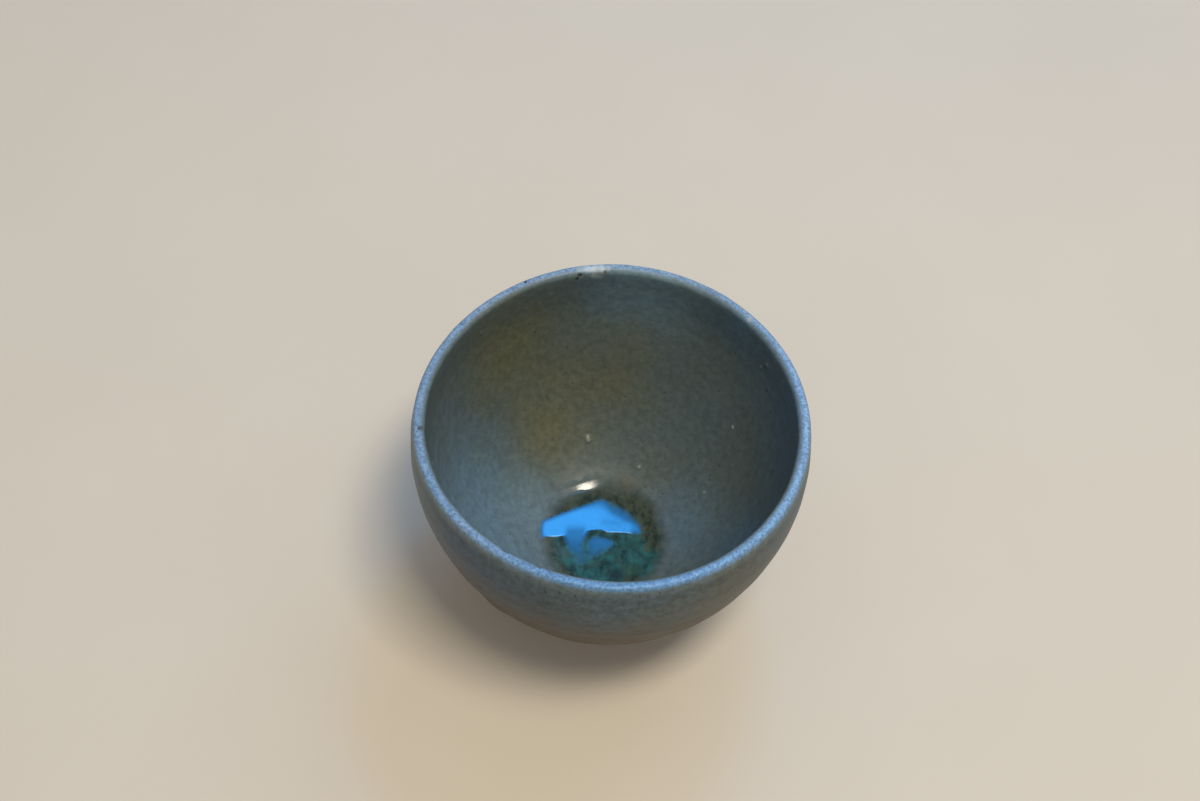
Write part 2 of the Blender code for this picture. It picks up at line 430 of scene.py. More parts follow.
# The outer coat's lower edge: its roll, how far up its runs begin, two sizes of runs, and the bead
GLAZE_ROLL = 1.0 * MM
RUN_REACH = 3.5 * MM
RUN = 0.75 * MM
RUN_SIZE = 19 * MM
TRICKLE = 0.20 * MM
TRICKLE_SIZE = 7 * MM
BEAD = 0.16 * MM
BEAD_RISE = (0.55, 0.85)
BEAD_FALL = (0.90, 1.0)

# Steps along the coats
BAND_STEPS = 8
LIP_STEPS = 36
LIP_BACK_STEPS = 12
OUTER_STEPS = 150
OUTER_BACK_STEPS = 24
ROLL_STEPS = 6
INNER_STEPS = 130
WELL_STEPS = 24
INNER_BACK_STEPS = 40

# The inner coat's first rows, and how often they are eased into the lip
EASED_ROWS = 60
EASED_ROUNDS = 60


def lip_coat():
    """The thin coat that laps over the lip."""

    def over(offset, steps):
        """The lip's profile at one distance from the clay."""
        return joined(
            down(INSIDE, LIP_DROP, BAND_END, BAND_STEPS, -offset)[::-1],
            arc((LIP_RADIUS, TOP - LIP_DROP), CLAY_LIP + offset, 180, 0, steps),
            down(OUTSIDE, LIP_DROP, BAND_END, BAND_STEPS, offset),
        )

    profile = sides(over(COAT, LIP_STEPS), over(SUNK, LIP_BACK_STEPS)[::-1])
    return turned("lip_coat", *profile, thrown)


def run_down(points, facing):
    """The outer coat, whose lower edge has run unevenly and gathered into a bead."""
    height = points[..., 2]
    edge = smooth_step(GLAZE_LINE + RUN_REACH - height, 0, RUN_REACH)
    bead = smooth_step(edge, *BEAD_RISE) * (1 - smooth_step(edge, *BEAD_FALL))
    run = RUN * waves(points * (1, 1, 0), RUN_SIZE, seed=31)
    run = edge * (run + TRICKLE * waves(points, TRICKLE_SIZE, seed=32))
    out = points[..., :2] / np.linalg.norm(points[..., :2], axis=-1, keepdims=True)
    facing_out = (facing[..., :2] * out).sum(-1)
    along = np.concatenate([out * facing[..., 2:], -facing_out[..., None]], -1)
    return thrown(points, facing) + along * run[..., None] + facing * (BEAD * bead)[..., None]


def outer_coat():
    """The coat on the outside, whose lower edge rolls in to the clay."""
    front = down(OUTSIDE, BAND_END, GLAZE_END, OUTER_STEPS, COAT)
    end = GLAZE_END + GLAZE_ROLL
    on_clay = down(OUTSIDE, GLAZE_END, end, ROLL_STEPS)
    on_coat = down(OUTSIDE, GLAZE_END, end, ROLL_STEPS, COAT)
    fall = np.sqrt(np.clip(1 - np.linspace(0, 1, ROLL_STEPS + 1) ** 2, 0, 1))[:, None]
    roll = on_clay + (on_coat - on_clay) * fall
    back = down(OUTSIDE, BAND_END, end, OUTER_BACK_STEPS, SUNK)
    return turned("outer_coat", *sides(joined(front, roll), back[::-1]), run_down)


def inner_coat():
    """The coat on the inside, down to the middle of the well."""
    rim = depth_at(INSIDE, POOL_RADIUS)
    wall = down(INSIDE, BAND_END, rim, INNER_STEPS, -COAT)
    front = joined(wall, down(INSIDE, rim, WELL_END, WELL_STEPS, -COAT))
    front = eased(front, EASED_ROWS, EASED_ROUNDS)
    back = down(INSIDE, BAND_END, WELL_END, INNER_BACK_STEPS, -SUNK)
    profile = np.concatenate([back, front[::-1]])
    return turned("inner_coat", profile, np.arange(len(profile)) >= len(back), thrown)


# The glass tilts down to the right, leans to the front where its skin is smooth and curves up to the wall
GLASS_RISE = 0.20 * MM
GLASS_TILT = math.tan(math.radians(4.2))
SKIN_LEAN = math.tan(math.radians(2.6))
SKIN_HINGE = 1.9 * MM
GLASS_CURVE = 0.20 * MM
FILM_REACH = 2.0 * MM
GLASS_EDGE = POOL_RADIUS + FILM_REACH
FILM = 0.06 * MM
FILM_FADE = 1.2 * MM
POOL_LEVEL = POOL_BED + POOL_DEPTH + GLASS_RISE

# Outlines in millimetres: the smooth skin at the back of the glass, its leg and a loose flake. The skin's
# lower edge runs from its first corner to another
SKIN = [
    (-13.2, -1.0), (-13.6, 0.9), (-13.4, 2.6), (-10.2, 4.6), (-6.1, 7.0), (-2.0, 9.5), (-0.8, 10.0),
    (0.6, 9.6), (3.7, 8.2), (5.5, 7.2), (6.9, 5.8), (8.0, 4.3), (8.2, 3.1), (6.9, 2.6),
    (2.9, 2.3), (1.0, 2.0), (-0.5, 2.5), (-2.5, 2.1), (-3.6, 1.7), (-4.2, 0.3), (-8.5, -0.2), (-10.7, -0.8),
]
SKIN_CORNER = 13
LEG = [
    (-8.7, 0.4), (-3.5, 1.9), (-4.4, -1.4), (-4.2, -2.8), (-3.7, -4.1), (-2.8, -5.0),
    (-3.1, -6.5), (-4.6, -7.0), (-5.8, -6.2), (-6.6, -4.2), (-7.5, -2.6),
]
FLAKE = [
    (-3.0, -1.9), (-2.8, -0.5), (-1.7, 0.3), (0.0, 0.4), (2.0, 0.0), (2.3, -0.7),
    (0.9, -2.3), (-0.1, -3.6), (-2.1, -4.8), (-3.2, -5.2), (-3.1, -3.6),
]

# Soft limits in millimetres. The skin has a crisp outline in front and a blurred one behind and at its ends
CRISP_EDGE = (-0.10, 0.15)
BLURRED_EDGE = (-0.9, 1.0)
BLURRED_BEHIND = (1.4, 2.6)
BLURRED_RIGHT = (5.4, 6.8)
BLURRED_LEFT = (-13.4, -12.2)

# Where the skin mirrors less, and by how much: its right half with a slope and a tip, its back, and where
# the leg leaves it
RIGHT_HALF = (-2, 2)
RIGHT_LOSS = 0.12
SLOPE_BEHIND = (1.8, 3.6)
SLOPE_INSIDE = (0.9, 3.4)
SLOPE_LOSS = 0.62
TIP = (5.2, 7.0)
TIP_LOSS = 0.35
BACK = (5.5, 8.5)
BACK_LOSS = 0.46
JOIN_LEFT = (-9.0, -7.5)
JOIN_RIGHT = (-4.6, -3.4)
JOIN_BEHIND = (0.6, 3.4)
JOIN_LOSS = 0.50

# Edge of the leg and the flake, their length, and their gloss at the front and how it grows to the back
LEG_EDGE = (-0.9, 0.9)
LEG_LENGTH = (-6, 0.5)
LEG_GLOSS = (0.11, 0.38)
FLAKE_EDGE = (-1.0, 1.0)
FLAKE_LENGTH = (-5, 0.5)
FLAKE_GLOSS = (0.16, 0.26)

# The streak on the film: its place and turn, its core and its wings, and its width. Then the gloss of the rim
STREAK = (-4.9 * MM, 12.75 * MM)
STREAK_TURN = math.radians(26.5)
CORE_SHIFT = 0.3 * MM
CORE_LENGTH = 1.5 * MM
CORE_SHARE = 0.22
WING_SHIFT = 1.1 * MM
WING_LENGTH = 5.0 * MM
WING_SHARE = 0.68
STREAK_WIDTH = 1.1 * MM
RIM = (14.2, 16.2)
RIM_GLOSS = 0.36

# The painted highlight line along the skin's lower edge: how far in it lies, and its soft limits in millimetres
LINE_INSET = 0.10 * MM
LINE_WIDTH = (0.05, 0.24)
LINE_BEHIND = (0.5, 1.3)
LINE_LEFT = (-12.8, -11.5)
LINE_RIGHT = (5.6, 6.6)
LINE_LEG = (-0.4, 0.1)


def within(outline, x, y):
    """Distance inside an outline, in metres, negative outside it."""
    corners = np.array(outline) * MM
    nearest = np.full(x.shape, np.inf)
    inside = np.zeros(x.shape, bool)
    for (ax, ay), (bx, by) in zip(corners, np.roll(corners, -1, 0)):
        along = ((x - ax) * (bx - ax) + (y - ay) * (by - ay)) / ((bx - ax) ** 2 + (by - ay) ** 2)
        along = np.clip(along, 0, 1)
        nearest = np.minimum(nearest, np.hypot(x - ax - along * (bx - ax), y - ay - along * (by - ay)))
        if ay != by:
            inside ^= ((ay > y) != (by > y)) & (x < ax + (y - ay) * (bx - ax) / (by - ay))
    return np.where(inside, nearest, -nearest)


def above_skin_edge(x, y):
    """How far a point lies behind the skin's lower edge, which runs between two of its corners."""
    (ax, ay), (bx, by) = SKIN[0], SKIN[SKIN_CORNER]
    return y - ay * MM - (x - ax * MM) * (by - ay) / (bx - ax)


def skin_share(x, y):
    """How much the glass mirrors: 1 on its skin, less on the leg, the flake and soft edges, 0 on the moss."""
    inside = within(SKIN, x, y)
    above = above_skin_edge(x, y)
    crisp = soft(inside, CRISP_EDGE)
    blurred = soft(inside, BLURRED_EDGE)
    fade = [soft(above, BLURRED_BEHIND), soft(x, BLURRED_RIGHT), 1 - soft(x, BLURRED_LEFT)]
    skin = crisp + (blurred - crisp) * np.maximum.reduce(fade)
    right = soft(x, RIGHT_HALF)
    slope = right * soft(above, SLOPE_BEHIND) * (1 - soft(inside, SLOPE_INSIDE))
    skin *= (1 - SLOPE_LOSS * slope) * (1 - RIGHT_LOSS * right)
    skin *= 1 - TIP_LOSS * soft(x, TIP)
    skin *= 1 - BACK_LOSS * soft(above, BACK)
    join = soft(x, JOIN_LEFT) * (1 - soft(x, JOIN_RIGHT))
    skin *= 1 - JOIN_LOSS * join * (1 - soft(above, JOIN_BEHIND))
    leg = soft(within(LEG, x, y), LEG_EDGE) * (LEG_GLOSS[0] + LEG_GLOSS[1] * soft(y, LEG_LENGTH))
    flake = soft(within(FLAKE, x, y), FLAKE_EDGE) * (FLAKE_GLOSS[0] + FLAKE_GLOSS[1] * soft(y, FLAKE_LENGTH))
    return np.maximum.reduce([skin, leg, flake])


def film_gloss(x, y):
    """How glossy the film on the wall is: a streak at the back, and some gloss all round the rim."""
    right, back = x - STREAK[0], y - STREAK[1]
    along = right * math.cos(STREAK_TURN) + back * math.sin(STREAK_TURN)
    across = back * math.cos(STREAK_TURN) - right * math.sin(STREAK_TURN)
    core = np.exp(-(((along + CORE_SHIFT) / CORE_LENGTH) ** 2))
    wing = np.exp(-(((along + WING_SHIFT) / WING_LENGTH) ** 4))
    streak = (WING_SHARE * wing + CORE_SHARE * core) * np.exp(-((across / STREAK_WIDTH) ** 4))
    return np.maximum(streak, RIM_GLOSS * soft(np.hypot(x, y), RIM))


def skin_edge(x, y):
    """1 along the skin's lower edge, where a pale highlight is painted."""
    line = 1 - soft(np.abs(within(SKIN, x, y) - LINE_INSET), LINE_WIDTH)
    line *= 1 - soft(above_skin_edge(x, y), LINE_BEHIND)
    line *= soft(x, LINE_LEFT) * (1 - soft(x, LINE_RIGHT))
    return line * (1 - soft(within(LEG, x, y), LINE_LEG))


def smooth_glass(x, y):
    """Distance inside the nearest smooth glass, negative on the moss."""
    return np.maximum.reduce([within(outline, x, y) for outline in (SKIN, LEG, FLAKE)])


# The bed that the glass lies on: the inner coat, as points from the middle to past the edge of the glass
BED_MARGIN = 1 * MM
BED_STEPS = 200
BED = down(INSIDE, depth_at(INSIDE, GLASS_EDGE + BED_MARGIN), WELL_END, BED_STEPS, -COAT)[::-1]

# The film's uneven edge, how the lean and the moss begin outside the smooth glass, and the ripples on each
FILM_INSET = 0.8 * MM
FILM_WAVE = 0.4 * MM
FILM_WAVE_SIZE = 11 * MM
LEAN_START = (-4.0, -1.4)
MOSS_END = (-0.7, -0.2)
SKIN_RIPPLE = 0.003 * MM
SKIN_RIPPLE_SIZE = 6.5 * MM
MOSS_RIPPLE = 0.030 * MM
MOSS_RIPPLE_SIZE = 1.8 * MM

# Rows of the glass, and how far its hidden side is sunk into the inner coat
GLASS_ROWS = 140
GLASS_SUNK = 0.25 * MM


def glass_set(points, facing):
    """The surface of the glass: not quite level, rippled on the moss, and a thin film up the wall."""
    x, y = points[..., 0], points[..., 1]
    flat = points * (1, 1, 0)
    radius = np.hypot(x, y)
    edge = GLASS_EDGE - FILM_INSET + FILM_WAVE * waves(flat, FILM_WAVE_SIZE, seed=15)
    film = np.interp(radius, *BED.T) + FILM * np.clip((edge - radius) / FILM_FADE, -1, 1)
    inside = smooth_glass(x, y)
    moss = 1 - soft(inside, MOSS_END)
    level = POOL_LEVEL - GLASS_TILT * x + SKIN_LEAN * (y - SKIN_HINGE) * soft(inside, LEAN_START)
    level += SKIN_RIPPLE * waves(flat, SKIN_RIPPLE_SIZE, seed=11)
    level += MOSS_RIPPLE * moss * waves(flat, MOSS_RIPPLE_SIZE, seed=12)
    meet = np.clip(GLASS_CURVE - np.abs(level - film), 0, None)
    moved = points.copy()
    moved[..., 2] = np.maximum(level, film) + meet**2 / (4 * GLASS_CURVE)
    return moved


def glass_pool():
    """The glass in the well, with the values that its material reads."""
    radius = np.linspace(0, GLASS_EDGE, GLASS_ROWS)
    bed = np.interp(radius, *BED.T)
    below = np.stack([radius, bed - GLASS_SUNK], 1)
    above = np.stack([radius, bed], 1)
    profile = np.concatenate([below[::-1], above])
    piece = turned("pool_glass", profile, np.arange(len(profile)) >= len(below), glass_set)
    places = np.array([vertex.co for vertex in piece.data.vertices])
    for name, share in (("skin", skin_share), ("film", film_gloss), ("edge", skin_edge)):
        keep(piece.data, name, share(places[:, 0], places[:, 1]))
    return piece


# Bare clay: how far it goes on under the outer coat, its steps, and what the trimming tool has left on it
UNDER_COAT = 1 * MM
CLAY_STEPS = 40
TRIM_STEPS = 60
TOOL_MARK = 0.035 * MM
TOOL_PITCH = 1.1 * MM
TOOL_SLANT = 0.6
TOOL_MIDDLE = (0, 2)
GROG = 0.035 * MM
GROG_SIZE = 3 * MM


def clay():
    """The thrown bowl: hidden under its coats, and bare from the collar to the trimmed underside."""
    inside = down(INSIDE, LIP_DROP, WELL_END, CLAY_STEPS)[::-1]
    lip = arc((LIP_RADIUS, TOP - LIP_DROP), CLAY_LIP, 180, 0, LIP_BACK_STEPS)
    collar = GLAZE_END - UNDER_COAT
    outside = down(OUTSIDE, LIP_DROP, collar, CLAY_STEPS)
    bare = down(OUTSIDE, collar, depth_at(OUTSIDE, TRIM_RADIUS), TRIM_STEPS)
    under = np.linspace((TRIM_RADIUS, UNDERSIDE), (0, UNDERSIDE), TRIM_STEPS)
    profile = joined(inside, lip, outside, bare, under)
    return turned("thrown_clay", profile, profile[:, 1] < GLAZE_LINE + UNDER_COAT, turning, closed=False)


def turning(points, facing):
    """Points after trimming, with the fine spiral that the tool has left."""
    radius = np.hypot(points[..., 0], points[..., 1])
    angle = np.arctan2(points[..., 1], points[..., 0])
    ring = np.sin(TAU * (radius + TOOL_SLANT * points[..., 2]) / TOOL_PITCH + angle)
    push = TOOL_MARK * ring + GROG * waves(points, GROG_SIZE, seed=21)
    return points + facing * (push * soft(radius, TOOL_MIDDLE))[..., None]


def bend(a, b, c, steps):
    """Points on a curve from a to c that leaves and arrives along the lines to b."""
    t = np.linspace(0, 1, steps + 1)[:, None]
    return (1 - t) ** 2 * np.array(a) + 2 * t * (1 - t) * np.array(b) + t**2 * np.array(c)


# The foot's hollow fillets into the bowl, its waist, and how deep it is set into the clay
FILLET = 1.3 * MM
WAIST = 0.5 * MM
SEAT = 0.1 * MM

# Height of the flare above the land, in roundings, how high the land stays untouched by the tool, and steps
FLARE_HEIGHT = 2.5
LAND = 0.2 * MM
FILLET_STEPS = 16
SIDE_STEPS = 20
ROUNDING_STEPS = 10
LAND_STEPS = 14
SEAT_STEPS = 12


def on_bowl(radius):
    """A point just inside the underside of the bowl."""
    return radius, TOP - depth_at(OUTSIDE, radius) + SEAT


def foot():
    """The turned foot ring: a waisted side, a rounded land and hollow fillets into the bowl."""
    inner = FOOT_RADIUS - FOOT_WIDTH
    neck = FOOT_TOP_RADIUS - WAIST
    waist = (neck, FOOT_TOP - 2 * FILLET)
    outer_seat = on_bowl(FOOT_TOP_RADIUS + FILLET)
    inner_seat = on_bowl(inner - FILLET)
    outer_edge = (FOOT_RADIUS - FOOT_ROUNDING, FOOT_ROUNDING)
    inner_edge = (inner + FOOT_ROUNDING, FOOT_ROUNDING)
    flare = (neck, FLARE_HEIGHT * FOOT_ROUNDING)
    profile = joined(
        bend(outer_seat, (neck, FOOT_TOP), waist, FILLET_STEPS),
        bend(waist, flare, (FOOT_RADIUS, FOOT_ROUNDING), SIDE_STEPS),
        arc(outer_edge, FOOT_ROUNDING, 0, -90, ROUNDING_STEPS),
        np.linspace((outer_edge[0], 0), (inner_edge[0], 0), LAND_STEPS),
        arc(inner_edge, FOOT_ROUNDING, -90, -180, ROUNDING_STEPS),
        bend((inner, FOOT_ROUNDING), (inner, inner_seat[1]), inner_seat, SIDE_STEPS),
        np.linspace(inner_seat, outer_seat, SEAT_STEPS),
    )[:-1]
    front = np.arange(len(profile)) <= len(profile) - SEAT_STEPS
    front &= profile[:, 1] > LAND
    return turned("turned_foot", profile, front, turning)


# Specks: the smallest against the largest, and how soft their edge is
SMALLEST_SPECK = 0.3
SPECK_EDGE = 0.25


class Shader:
    """One node-based material, with its places in metres."""

    def __init__(self, name):
        self.material = bpy.data.materials.new(name)
        self.material.use_nodes = True
        self.tree = self.material.node_tree
        self.surface = self.tree.nodes["Principled BSDF"]
        self.place = self.node("ShaderNodeTexCoord").outputs["Object"]

    def put(self, socket, value):
        """A socket takes a link, a colour or a plain value."""
        if isinstance(value, bpy.types.NodeSocket):
            self.tree.links.new(value, socket)
        elif isinstance(value, tuple) and socket.type == "RGBA":
            socket.default_value = (*value, 1)
        else:
            socket.default_value = value

    def node(self, kind, settings=None, **inputs):
        """A node with its settings, and its inputs by name."""
        node = self.tree.nodes.new(kind)
        for key, value in (settings or {}).items():
            setattr(node, key, value)
        for key, value in inputs.items():
            self.put(node.inputs[key.replace("_", " ")], value)
        return node

    def attribute(self, name):
        """A value that the mesh keeps for each vertex."""
        return self.node("ShaderNodeAttribute", {"attribute_name": name}).outputs["Fac"]

    def noise(self, size, detail=3.0, roughness=0.55, distortion=0.0, place=None):
        """Noise of one size, near 0 to 1."""
        node = self.node(
            "ShaderNodeTexNoise",
            Vector=place or self.place,
            Scale=1 / size,
            Detail=detail,
            Roughness=roughness,
            Distortion=distortion,
        )
        return node.outputs["Fac"]

    def math(self, operation, a, b=0.0, c=0.0):
        """One sum."""
        node = self.node("ShaderNodeMath", {"operation": operation})
        for socket, value in zip(node.inputs, (a, b, c)):
            self.put(socket, value)
        return node.outputs[0]

    def ramp(self, value, low, high, start=0.0, end=1.0):
        """A value carried smoothly from start to end as it goes from low to high."""
        node = self.node(
            "ShaderNodeMapRange",
            {"interpolation_type": "SMOOTHSTEP"},
            Value=value,
            From_Min=low,
            From_Max=high,
            To_Min=start,
            To_Max=end,
        )
        return node.outputs[0]

    def mix(self, share, a, b, blend="MIX"):
        """Colour a with a share of colour b."""
        node = self.node("ShaderNodeMix", {"data_type": "RGBA", "blend_type": blend, "clamp_factor": True})
        self.put(node.inputs[0], share)
        self.put(node.inputs[6], a)
        self.put(node.inputs[7], b)
        return node.outputs[2]

    def tint(self, colour, factors):
        """A colour times factors."""
        return self.mix(1.0, colour, factors, "MULTIPLY")

    def near(self, point, inner, outer, rough=0.0, rough_size=1.0):
        """1 close to a point, given in millimetres, falling to 0 further away."""
        node = self.node("ShaderNodeVectorMath", {"operation": "DISTANCE"})
        self.put(node.inputs[0], self.place)
        node.inputs[1].default_value = Vector(point) * MM
        distance = node.outputs["Value"]
        if rough:
            distance = self.math("MULTIPLY_ADD", self.noise(rough_size * MM), rough * MM, distance)
        return self.ramp(distance, inner * MM, outer * MM, 1.0, 0.0)

    def specks(self, size, radius, share):
        """Round specks up to a radius in a share of cells of one size: 1 inside them."""
        cells = self.node("ShaderNodeTexVoronoi", Vector=self.place, Scale=1 / size, Randomness=1.0)
        pick = self.node("ShaderNodeSeparateColor", Color=cells.outputs["Color"])
        chosen = self.math("LESS_THAN", pick.outputs[0], share)
        largest = radius / size
        smallest = SMALLEST_SPECK * largest
        reach = self.math("MULTIPLY_ADD", pick.outputs[1], largest - smallest, smallest)
        inside = self.math("SUBTRACT", reach, cells.outputs["Distance"])
        return self.math("MULTIPLY", self.ramp(inside, 0.0, SPECK_EDGE * largest), chosen)

    def bump(self, height, depth):
        """Fine relief of one depth, from a height near 0 to 1."""
        node = self.node("ShaderNodeBump", Strength=1.0, Distance=depth, Height=height)
        self.put(self.surface.inputs["Normal"], node.outputs["Normal"])


# Colours of the glaze: inside, outside, low on the outside, below the lip there, on the lip, where its pale
# break carries a painted blue reflection of the window, and in specks
INSIDE_COLOUR = (0.112, 0.146, 0.150)
OUTSIDE_COLOUR = (0.072, 0.110, 0.136)
LOW_COLOUR = (0.046, 0.031, 0.015)
UNDER_LIP_COLOUR = (0.132, 0.186, 0.200)
LIP_DARK_WITH_REFLECTION = (0.128, 0.212, 0.340)
LIP_PALE_WITH_REFLECTION = (0.288, 0.423, 0.592)
DARK_SPECK = (0.034, 0.034, 0.028)
PALE_SPECK = (0.26, 0.27, 0.25)

# Factors on those colours: inside below the lip, in clouds, and in the mottle inside and outside
UNDER_LIP_TINT = (1.26, 1.28, 1.30)
CLOUD_TINT = (1.06, 0.98, 0.82)
DARK_INSIDE = (0.84, 0.84, 0.85)
DARK_OUTSIDE = (0.64, 0.65, 0.66)
LIGHT_INSIDE = (1.16, 1.16, 1.15)
LIGHT_OUTSIDE = (1.37, 1.37, 1.35)

# Edges of the patches, in millimetres: how ragged they are, and at what size
PATCH_ROUGH = 6
PATCH_SIZE = 8

# The low colour's ragged edge and the heights it fades over, and sizes of clouds, mottle, grain and relief
LOW_ROUGH = 8 * MM
LOW_SIZE = 7 * MM
LOW_RANGE = (35 * MM, 53 * MM)
CLOUD_SIZE = 13 * MM
MOTTLE_SIZE = 1.5 * MM
GRAIN_SIZE = 0.55 * MM
GLAZE_BUMP = 0.035 * MM
GRAIN_SHARE = 0.6

# Specks: size of their cells, largest radius, and the share of cells that have one
DARK_SPECKS = (1.7 * MM, 0.30 * MM, 0.40)
PALE_SPECKS = (4.1 * MM, 0.36 * MM, 0.25)

# Spots: the part of their size with full colour, how ragged they are for their size, and at what size
SPOT_FULL = 0.5
SPOT_ROUGH = 0.6
SPOT_ROUGH_SIZE = 0.7

# Gloss of each coat
OUTER_GLOSS = 0.30
INNER_GLOSS = 0.50
LIP_GLOSS = 0.40

# Ways from the top of the lip in millimetres: paler glaze below it, its pale band with the painted reflection,
# and the turn outside
UNDER_LIP = (1.6, 4.4)
UNDER_LIP_ROUGH = 1.2
UNDER_LIP_SIZE = 3 * MM
LIP_MIDDLE = 0.35
LIP_REACH = (0.30, 2.02)
LIP_ROUGH = 0.6
LIP_ROUGH_SIZE = 1.3 * MM
LIP_TURN = (-0.4, 0.4)


def glaze_colour(s, outside):
    """Grey-green glaze with patches that are partly painted light and shade, clouds, fine mottling and specks,
    and the mottle that its gloss follows.
    """
    height = s.node("ShaderNodeSeparateXYZ", Vector=s.place).outputs["Z"]
    colour = s.mix(outside, INSIDE_COLOUR, OUTSIDE_COLOUR)
    within_cup = s.math("SUBTRACT", 1.0, outside)
    # Both tables paint light and shade into the glaze colour, as well as its own flashing
    for patches, side in ((GLAZE_AND_WINDOW_LIGHT_PATCHES, within_cup), (OUTSIDE_SHADE_AND_LIGHT, outside)):
        for place, full, reach, tint, strength in patches:
            share = s.math("MULTIPLY", s.near(place, full, reach, PATCH_ROUGH, PATCH_SIZE), strength)
            colour = s.mix(s.math("MULTIPLY", share, side), colour, tint)
    low = s.math("MULTIPLY_ADD", s.noise(LOW_SIZE), LOW_ROUGH, height)
    low = s.math("MULTIPLY", s.ramp(low, *LOW_RANGE, 1.0, 0.0), outside)
    colour = s.mix(low, colour, LOW_COLOUR)
    way = s.math("ABSOLUTE", s.attribute("crest"))
    under = s.math("MULTIPLY_ADD", s.noise(UNDER_LIP_SIZE), UNDER_LIP_ROUGH, way)
    paler = s.mix(outside, s.tint(colour, UNDER_LIP_TINT), UNDER_LIP_COLOUR)
    colour = s.mix(s.ramp(under, *UNDER_LIP, 1.0, 0.0), colour, paler)

    cloud = s.ramp(s.noise(CLOUD_SIZE, 3), 0.35, 0.65, 0.0, 0.5)
    colour = s.mix(cloud, colour, s.tint(colour, CLOUD_TINT))
    mottle = s.noise(MOTTLE_SIZE, 4, 0.7)
    darker = s.tint(colour, s.mix(outside, DARK_INSIDE, DARK_OUTSIDE))
    lighter = s.tint(colour, s.mix(outside, LIGHT_INSIDE, LIGHT_OUTSIDE))
    colour = s.mix(s.ramp(mottle, 0.30, 0.70), darker, lighter)
    dark = s.specks(*DARK_SPECKS)
    colour = s.mix(s.math("MULTIPLY", dark, 0.6), colour, DARK_SPECK)
    pale = s.specks(*PALE_SPECKS)
    colour = s.mix(s.math("MULTIPLY", pale, 0.35), colour, PALE_SPECK)
    return colour, mottle


def glaze(name, outside, gloss):
    """Satin glaze that breaks pale over the lip, where a blue reflection of the window is painted. Without a
    side it turns from inside to outside there.
    """
    s = Shader(name)
    crest = s.attribute("crest")
    if outside is None:
        outside = s.ramp(crest, *LIP_TURN)
    colour, mottle = glaze_colour(s, outside)
    grain = s.noise(GRAIN_SIZE, 2, 0.6)
    edge = s.math("ABSOLUTE", s.math("SUBTRACT", crest, LIP_MIDDLE))
    edge = s.math("MULTIPLY_ADD", s.noise(LIP_ROUGH_SIZE, 3), LIP_ROUGH, edge)
    # The lip's pale glaze, painted blue with the window's reflection
    lip_glaze_and_reflection = s.mix(s.ramp(grain, 0.30, 0.70), LIP_DARK_WITH_REFLECTION, LIP_PALE_WITH_REFLECTION)
    # Bluer and brighter where the painted reflection of the window is stronger
    for place, full, reach, factors in LIP_REFLECTION_TINTS:
        lip_glaze_and_reflection = s.mix(s.near(place, full, reach), lip_glaze_and_reflection, s.tint(lip_glaze_and_reflection, factors))
    colour = s.mix(s.ramp(edge, *LIP_REACH, 1.0, 0.0), colour, lip_glaze_and_reflection)
    for place, size, tint in SPOTS_GLINTS_AND_SHADE:
        share = s.near(place, SPOT_FULL * size, size, SPOT_ROUGH * size, SPOT_ROUGH_SIZE)
        colour = s.mix(share, colour, tint)

    s.put(s.surface.inputs["Base Color"], colour)
    s.put(s.surface.inputs["Roughness"], s.ramp(mottle, 0.25, 0.75, 0.38, 0.50))
    s.surface.inputs["Specular IOR Level"].default_value = gloss
    s.bump(s.math("MULTIPLY_ADD", grain, GRAIN_SHARE, mottle), GLAZE_BUMP)
    return s.material


# Colours in the pool: place, full and outer reach in millimetres, colour
POOL_COLOURS = [
    ((10.2, -1.5, 8.9), 0.5, 2.3, (0.014, 0.180, 0.165)),
    ((7.0, -0.4, 8.7), 0.6, 2.6, (0.024, 0.095, 0.078)),
    ((7.4, -6.8, 8.9), 1.0, 3.6, (0.030, 0.105, 0.080)),
    ((-9.3, -4.5, 9.7), 1.0, 3.8, (0.056, 0.135, 0.150)),
    ((3.6, -8.4, 8.9), 0.8, 3.6, (0.004, 0.022, 0.040)),
    ((-12.7, -3.2, 9.9), 0.5, 2.6, (0.020, 0.068, 0.150)),
    ((12.4, -3.4, 9.4), 1.0, 3.4, (0.030, 0.110, 0.104)),
    ((3.0, 1.0, 8.9), 0.6, 2.0, (0.003, 0.024, 0.030)),
]

# Colours of the moss under the glass, its cracks, the brown ring round it and the painted highlight along the
# skin's edge
MOSS_DARK = (0.005, 0.034, 0.042)
MOSS_LIGHT = (0.022, 0.138, 0.146)
TEAL = (0.016, 0.142, 0.160)
EARTH = (0.036, 0.080, 0.072)
CRACK = (0.030, 0.105, 0.085)
RING_DARK = (0.013, 0.028, 0.022)
RING_LIGHT = (0.060, 0.080, 0.050)
RUST = (0.135, 0.105, 0.040)
SKIN_HIGHLIGHT_LINE = (0.38, 0.52, 0.64)

# Factors on the glaze at the rim of the glass, and on the moss seen through its skin, which darken it and turn
# it blue as a painted part of the window's reflection
RIM_TINT = (1.06, 1.06, 1.08)
SKIN_REFLECTION_TINT = (0.12, 0.16, 0.38)

# Where moss and glass lie, in millimetres: place, full and outer reach, how ragged the edge is, at what size
MOSS_PLACES = [
    ((-0.5, -1.0, 9.2), 10.3, 13.0, 3.0, 1.8),
    ((10.0, -5.0, 9.4), 3.5, 6.5, 3.0, 1.8),
]
GLASS_PLACES = [
    ((0.5, -0.3, 9.4), 11.9, 16.8, 2.0, 2.5),
    ((5.0, 5.5, 9.6), 6.0, 10.4, 2.0, 2.5),
]
RUST_PLACE = ((13.0, 1.0, 9.6), 4.0, 9.0)

